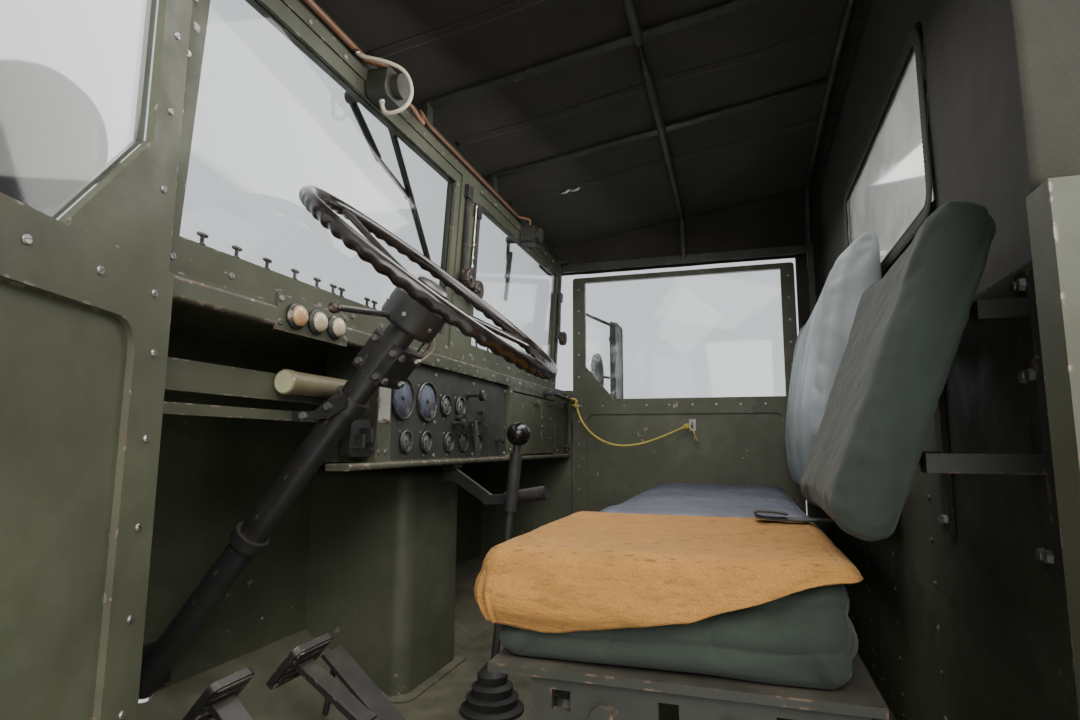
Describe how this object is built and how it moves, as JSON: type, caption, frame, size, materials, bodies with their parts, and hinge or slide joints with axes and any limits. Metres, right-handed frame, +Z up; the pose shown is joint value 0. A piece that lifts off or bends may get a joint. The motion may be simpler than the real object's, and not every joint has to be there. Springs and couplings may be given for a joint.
{
  "type": "military truck cab",
  "caption": "Soft-top cab of a military truck with dash, steering, pedals, seats, hinged doors and mirrors, standing on its mounting sills.",
  "frame": {"origin": "centre of the four cab mount holes on the underside of the sills", "axes": "+X to the driver's side (left), +Y to the back of the cab, +Z up"},
  "size_m": [3.0886, 1.417, 1.6867],
  "materials": {
    "bare_steel": "bare steel, dulled",
    "black_metal": "black enamel",
    "black_plastic": "moulded black plastic",
    "brown_pipe": "painted air pipe",
    "cab_paint": "semi-gloss olive paint, worn",
    "canvas": "proofed cotton canvas",
    "clear_sheet": "clear vinyl window",
    "cushion_cloth": "green seat cloth",
    "dark_paint": "dark satin paint",
    "door_paint": "semi-gloss olive paint, worn",
    "fleece": "long-pile fleece",
    "gauge_black": "black dial with bright ring",
    "glass": "safety glass",
    "lamp_lens": "coloured lamp lenses",
    "mirror_dark": "black mirror case",
    "pale_hose": "pale rubber hose",
    "rope_fibre": "braided cord",
    "rubber": "moulded rubber",
    "vinyl": "coated cloth",
    "webbing": "woven webbing"
  },
  "bodies": {
    "cab": {"accelerator_pedal": "black_metal", "backrest_brackets": "dark_paint", "brake_pedal": "black_metal", "cab_sills": "dark_paint", "canister": "bare_steel", "clutch_pedal": "black_metal", "companion_backrest": "vinyl", "companion_box": "cab_paint", "companion_cushion": "vinyl", "cowl": "cab_paint", "dash_controls": "black_plastic", "dash_lamps": "lamp_lens", "dash_panel": "cab_paint", "driver_backrest": "cushion_cloth", "driver_cushion": "cushion_cloth", "engine_tunnel": "cab_paint", "floor_pan": "cab_paint", "gauges": "gauge_black", "gear_lever": "rubber", "glovebox_tray": "dark_paint", "grab_handle": "black_metal", "header_hoses": "brown_pipe", "instrument_panel": "dark_paint", "lap_belt": "webbing", "pane_arms": "black_metal", "pane_frame_left": "dark_paint", "pane_frame_right": "dark_paint", "pane_left": "glass", "pane_right": "glass", "parking_brake": "black_metal", "rear_wall": "cab_paint", "rear_window": "clear_sheet", "rope": "rope_fibre", "rope_knot": "rope_fibre", "rope_loop": "rope_fibre", "seat_cover": "fleece", "seat_frame": "dark_paint", "seat_pedestal": "dark_paint", "soft_top": "canvas", "steering_column": "black_metal", "top_bows": "dark_paint", "windshield_frame": "cab_paint", "wiper_hose": "pale_hose", "wiper_motors": "bare_steel", "wipers": "black_metal"},
    "steering": {"steering_wheel": "black_plastic", "horn_button": "black_plastic", "steering_shaft": "bare_steel"},
    "glovebox_door": {"glovebox_lid": "cab_paint"},
    "door_swing_left": {"door_left": "door_paint", "door_glass_left": "glass", "door_fittings_left": "bare_steel", "mirror_left": "mirror_dark"},
    "door_swing_right": {"door_right": "door_paint", "door_glass_right": "glass", "door_fittings_right": "bare_steel", "mirror_right": "mirror_dark"}
  },
  "joints": [
    {"name": "steering_spin", "type": "hinge", "parent": "cab", "child": "steering", "pos_m": [0.59, -0.338, 0.95], "axis": [0, 0.6289, 0.7775], "range_deg": [-810, 810]},
    {"name": "door_left_hinge", "type": "hinge", "parent": "cab", "child": "door_swing_left", "pos_m": [1.002, -0.508, 0.5], "axis": [0, 0, 1], "range_deg": [-5, 70]},
    {"name": "door_right_hinge", "type": "hinge", "parent": "cab", "child": "door_swing_right", "pos_m": [-1.002, -0.508, 0.5], "axis": [0, 0, 1], "range_deg": [0, 75]},
    {"name": "glovebox_hinge", "type": "hinge", "parent": "cab", "child": "glovebox_door", "pos_m": [-0.52, -0.528, 0.661], "axis": [-1, 0, 0], "range_deg": [0, 80]}
  ]
}
